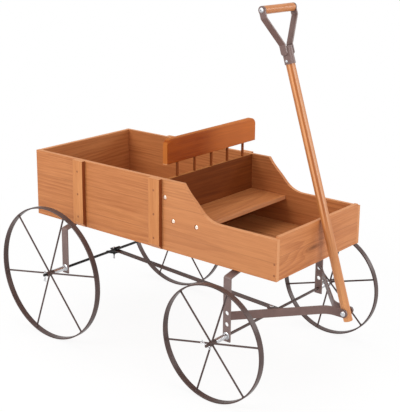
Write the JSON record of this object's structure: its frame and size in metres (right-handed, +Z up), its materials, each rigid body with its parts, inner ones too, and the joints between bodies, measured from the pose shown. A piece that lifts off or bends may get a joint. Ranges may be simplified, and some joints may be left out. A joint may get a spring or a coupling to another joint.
{
  "type": "flower cart stand",
  "caption": "Wooden buckboard flower cart stand: open bed with seat and backrest on strap-steel brackets, wire-spoked wheels turning on rod axles, pull handle hinged in a front fork.",
  "frame": {"origin": "on the ground under the middle of the cart's overall length and width", "axes": "+X forward towards the pull handle, +Y to the cart's left, +Z up"},
  "size_m": [0.6695, 0.391, 0.6368],
  "materials": {
    "stained_wood": "thin boards, orange-brown stain, satin",
    "handle_wood": "turned dowel, lighter stain, satin",
    "brown_paint": "semi-gloss mauve-brown paint",
    "black_paint": "semi-gloss black paint",
    "zinc_plate": "bright zinc plate"
  },
  "bodies": {
    "cart": {"side_panel_right": "stained_wood", "batten_rear_right": "stained_wood", "batten_middle_right": "stained_wood", "side_panel_left": "stained_wood", "batten_rear_left": "stained_wood", "batten_middle_left": "stained_wood", "front_panel": "stained_wood", "rear_panel": "stained_wood", "divider_panel": "stained_wood", "seat_board": "stained_wood", "floor_board_right": "stained_wood", "floor_board_middle": "stained_wood", "floor_board_left": "stained_wood", "backrest_rail": "stained_wood", "backrest_spindle_1": "stained_wood", "backrest_spindle_2": "stained_wood", "backrest_spindle_3": "stained_wood", "backrest_spindle_4": "stained_wood", "backrest_spindle_5": "stained_wood", "front_bracket": "brown_paint", "rear_bracket": "brown_paint", "fork_strap_right": "brown_paint", "fork_strap_left": "brown_paint", "reach_bar": "brown_paint", "reach_front_clip": "brown_paint", "front_axle": "brown_paint", "rear_axle": "black_paint", "reach_rear_clip": "black_paint", "wing_nut": "black_paint", "pivot_nut": "black_paint", "axle_spacers": "zinc_plate", "axle_nuts": "zinc_plate", "split_pins": "zinc_plate", "side_screws": "zinc_plate", "nails": "zinc_plate", "bracket_screws": "zinc_plate", "pivot_bolt": "zinc_plate", "reach_bolt": "zinc_plate", "reach_bolt_nut": "zinc_plate", "wing_bolt": "zinc_plate"},
    "handle": {"handle_pole": "handle_wood", "handle_sleeve": "brown_paint", "sleeve_screw": "zinc_plate", "yoke_strap_right": "brown_paint", "yoke_strap_left": "brown_paint", "handle_grip": "handle_wood", "grip_screws": "zinc_plate"},
    "wheel_front_right": {"rim_front_right": "brown_paint", "hub_front_right": "brown_paint", "spokes_front_right": "brown_paint"},
    "wheel_front_left": {"rim_front_left": "brown_paint", "hub_front_left": "brown_paint", "spokes_front_left": "brown_paint"},
    "wheel_rear_right": {"rim_rear_right": "brown_paint", "hub_rear_right": "brown_paint", "spokes_rear_right": "brown_paint"},
    "wheel_rear_left": {"rim_rear_left": "brown_paint", "hub_rear_left": "brown_paint", "spokes_rear_left": "brown_paint"}
  },
  "joints": [
    {"name": "wheel_front_right_spin", "type": "hinge", "parent": "cart", "child": "wheel_front_right", "pos_m": [0.17948, -0.18, 0.1016], "axis": [0, 1, 0], "continuous": true},
    {"name": "wheel_front_left_spin", "type": "hinge", "parent": "cart", "child": "wheel_front_left", "pos_m": [0.17948, 0.18, 0.1016], "axis": [0, 1, 0], "continuous": true},
    {"name": "wheel_rear_right_spin", "type": "hinge", "parent": "cart", "child": "wheel_rear_right", "pos_m": [-0.20792, -0.18, 0.127], "axis": [0, 1, 0], "continuous": true},
    {"name": "wheel_rear_left_spin", "type": "hinge", "parent": "cart", "child": "wheel_rear_left", "pos_m": [-0.20792, 0.18, 0.127], "axis": [0, 1, 0], "continuous": true},
    {"name": "handle_swing", "type": "hinge", "parent": "cart", "child": "handle", "pos_m": [0.32281, 0, 0.138], "axis": [0, 1, 0], "range_deg": [0, 120]}
  ]
}
